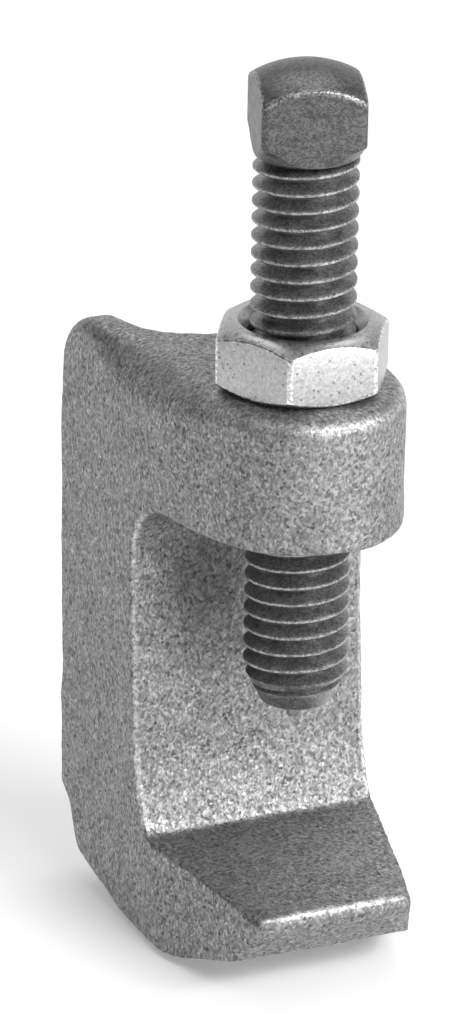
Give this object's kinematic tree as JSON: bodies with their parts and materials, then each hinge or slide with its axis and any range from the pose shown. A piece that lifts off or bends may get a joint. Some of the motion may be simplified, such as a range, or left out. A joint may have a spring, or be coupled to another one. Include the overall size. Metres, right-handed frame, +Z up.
{
  "type": "beam clamp",
  "caption": "C-shaped cast clamp for a beam flange, with a square-head set screw, a hexagon lock nut and a tapped foot for a hanger rod.",
  "frame": {"origin": "on the screw's axis, on the sloping seat that goes under the beam flange", "axes": "+Z up along the screw towards its head, -Y out of the open mouth of the C, +X across its width"},
  "size_m": [0.0228, 0.0367, 0.0839],
  "materials": {
    "casting": "as-cast malleable iron with a thin zinc plating, fine sand grain",
    "screw": "dark oiled steel",
    "nut": "bright zinc plating"
  },
  "bodies": {
    "clamp_body": {"clamp_body": "casting"},
    "set_screw": {"set_screw": "screw"},
    "lock_nut": {"lock_nut": "nut"}
  },
  "joints": [
    {"name": "screw_travel", "type": "slide", "parent": "clamp_body", "child": "set_screw", "axis": [0, 0, 1], "range_m": [-0.01111, 0.01746]},
    {"name": "nut_travel", "type": "slide", "parent": "clamp_body", "child": "lock_nut", "axis": [0, 0, 1], "range_m": [0, 0.00317]}
  ]
}
